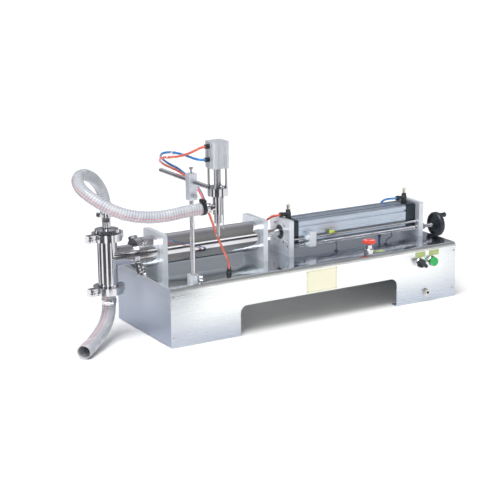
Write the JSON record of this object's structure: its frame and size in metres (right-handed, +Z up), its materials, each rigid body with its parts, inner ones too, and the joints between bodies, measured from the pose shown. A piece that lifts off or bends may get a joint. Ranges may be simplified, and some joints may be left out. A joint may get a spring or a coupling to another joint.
{
  "type": "piston liquid filler",
  "caption": "Bench-top piston liquid filler: air cylinder and liquid cylinder in line on a steel cabinet, with a valve tee, two hoses and a nozzle on a stand.",
  "frame": {"origin": "centre of the four foot holes, on the bench plane under the cabinet", "axes": "+X towards the hand wheel end, +Y to the rear, +Z up; the operator stands on the -Y side"},
  "size_m": [1.1907, 0.4358, 0.538],
  "materials": {
    "cabinet_steel": "fine brushed",
    "polished_steel": "polished",
    "turned_steel": "turned and ground",
    "plate_aluminium": "satin anodised",
    "barrel_aluminium": "clear anodised extrusion",
    "cap_black": "black anodised",
    "black_plastic": "moulded",
    "brass_part": "machined",
    "seal_rubber": "smooth",
    "white_polymer": "smooth",
    "hose_clear": "translucent with a spiral rib",
    "tube_red": "smooth",
    "tube_blue": "smooth",
    "cable_dark": "smooth",
    "label_film": "printed film on plate",
    "stop_red": "moulded",
    "button_green": "moulded"
  },
  "bodies": {
    "machine": {"base_shell": "cabinet_steel", "end_panels": "cabinet_steel", "machine_screws": "turned_steel", "liquid_supports": "plate_aluminium", "air_supports": "plate_aluminium", "marking_plates": "label_film", "liquid_tube": "polished_steel", "liquid_head": "polished_steel", "rod_bushes": "black_plastic", "air_barrel": "barrel_aluminium", "air_end_caps": "cap_black", "speed_valves": "black_plastic", "guide_rod": "polished_steel", "stroke_sensors": "black_plastic", "tee_body": "polished_steel", "clamp_gaskets": "seal_rubber", "tri_clamps": "polished_steel", "hose_barbs": "polished_steel", "suction_spring": "turned_steel", "discharge_spring": "turned_steel", "valve_seats": "white_polymer", "delivery_hose": "hose_clear", "suction_hose": "hose_clear", "red_tube": "tube_red", "blue_tube": "tube_blue", "sensor_cables": "cable_dark", "valve_tubes": "tube_red", "hose_clamps": "polished_steel", "stand_socket": "polished_steel", "cabinet_fittings": "black_plastic", "control_bodies": "turned_steel", "pilot_valve": "cap_black"},
    "drive": {"liquid_piston": "turned_steel", "air_piston": "barrel_aluminium", "piston_seals": "seal_rubber", "piston_rod": "polished_steel"},
    "adjuster": {"lead_screw": "turned_steel", "hand_wheel": "black_plastic"},
    "crank": {"crank_knob": "black_plastic"},
    "slider": {"slider_block": "plate_aluminium"},
    "needle_left": {"needle_left": "brass_part"},
    "needle_right": {"needle_right": "brass_part"},
    "suction_poppet": {"suction_poppet": "turned_steel"},
    "discharge_poppet": {"discharge_poppet": "turned_steel"},
    "wing_upper": {"wing_nut_upper": "polished_steel"},
    "wing_lower": {"wing_nut_lower": "polished_steel"},
    "wing_branch": {"wing_nut_branch": "polished_steel"},
    "head": {"stand_rods": "polished_steel", "clamp_block": "plate_aluminium", "block_screws": "turned_steel", "nozzle_cylinder": "barrel_aluminium", "nozzle_frame": "polished_steel", "nozzle_body": "polished_steel", "nozzle_fittings": "black_plastic", "nozzle_hose_clamp": "turned_steel"},
    "nozzle_valve": {"nozzle_stem": "turned_steel"},
    "socket_screw": {"socket_screw": "polished_steel"},
    "selector": {"selector_knob": "black_plastic"},
    "button": {"button_cap": "button_green"},
    "stop": {"stop_mushroom": "stop_red"}
  },
  "joints": [
    {"name": "piston_stroke", "type": "slide", "parent": "machine", "child": "drive", "axis": [1, 0, 0], "range_m": [0, 0.25]},
    {"name": "hand_wheel_turn", "type": "hinge", "parent": "machine", "child": "adjuster", "pos_m": [0.471, -0.035, 0.181], "axis": [1, 0, 0], "range_deg": [0, 10800]},
    {"name": "crank_knob_spin", "type": "hinge", "parent": "adjuster", "child": "crank", "pos_m": [0.471, -0.035, 0.205], "axis": [1, 0, 0], "continuous": true},
    {"name": "slider_travel", "type": "slide", "parent": "machine", "child": "slider", "axis": [1, 0, 0], "range_m": [0, 0.2401]},
    {"name": "needle_left_turn", "type": "hinge", "parent": "machine", "child": "needle_left", "pos_m": [-0.0045, 0.005, 0.28], "axis": [0, 0, 1], "range_deg": [0, 2880]},
    {"name": "needle_right_turn", "type": "hinge", "parent": "machine", "child": "needle_right", "pos_m": [0.385, 0.005, 0.28], "axis": [0, 0, 1], "range_deg": [0, 2880]},
    {"name": "suction_poppet_lift", "type": "slide", "parent": "machine", "child": "suction_poppet", "axis": [0, 0, 1], "range_m": [0, 0.006], "stiffness_N_per_m": 80, "springref_m": -0.004, "deforming": ["suction_spring"]},
    {"name": "discharge_poppet_lift", "type": "slide", "parent": "machine", "child": "discharge_poppet", "axis": [0, 0, 1], "range_m": [0, 0.006], "stiffness_N_per_m": 80, "springref_m": -0.004, "deforming": ["discharge_spring"]},
    {"name": "wing_upper_turn", "type": "hinge", "parent": "machine", "child": "wing_upper", "pos_m": [-0.59869, -0.00429, 0.272], "axis": [0.1736, -0.9848, 0], "range_deg": [0, 1440]},
    {"name": "wing_lower_turn", "type": "hinge", "parent": "machine", "child": "wing_lower", "pos_m": [-0.59869, -0.00429, 0.133], "axis": [0.1736, -0.9848, 0], "range_deg": [0, 1440]},
    {"name": "wing_branch_turn", "type": "hinge", "parent": "machine", "child": "wing_branch", "pos_m": [-0.463, -0.02175, 0.16967], "axis": [0, -0.866, 0.5], "range_deg": [0, 1440]},
    {"name": "nozzle_height", "type": "slide", "parent": "machine", "child": "head", "axis": [0, 0, 1], "range_m": [-0.06, 0.02], "deforming": ["delivery_hose", "red_tube", "blue_tube"]},
    {"name": "nozzle_valve_lift", "type": "slide", "parent": "head", "child": "nozzle_valve", "axis": [0, 0, 1], "range_m": [0, 0.01]},
    {"name": "socket_screw_turn", "type": "hinge", "parent": "machine", "child": "socket_screw", "pos_m": [-0.368, -0.121, 0.165], "axis": [0.8192, -0.5736, 0], "range_deg": [0, 1080]},
    {"name": "selector_turn", "type": "hinge", "parent": "machine", "child": "selector", "pos_m": [0.324, -0.154, 0.114], "axis": [0, -1, 0], "range_deg": [0, 90]},
    {"name": "button_press", "type": "slide", "parent": "machine", "child": "button", "axis": [0, 1, 0], "range_m": [0, 0.0035], "stiffness_N_per_m": 400, "springref_m": -0.002},
    {"name": "stop_press", "type": "slide", "parent": "machine", "child": "stop", "axis": [0, 0, -1], "range_m": [0, 0.004], "stiffness_N_per_m": 600, "springref_m": -0.002}
  ],
  "couplings": [
    {"joint": "slider_travel", "follows": "hand_wheel_turn", "m_per_rad": 0.001273}
  ]
}
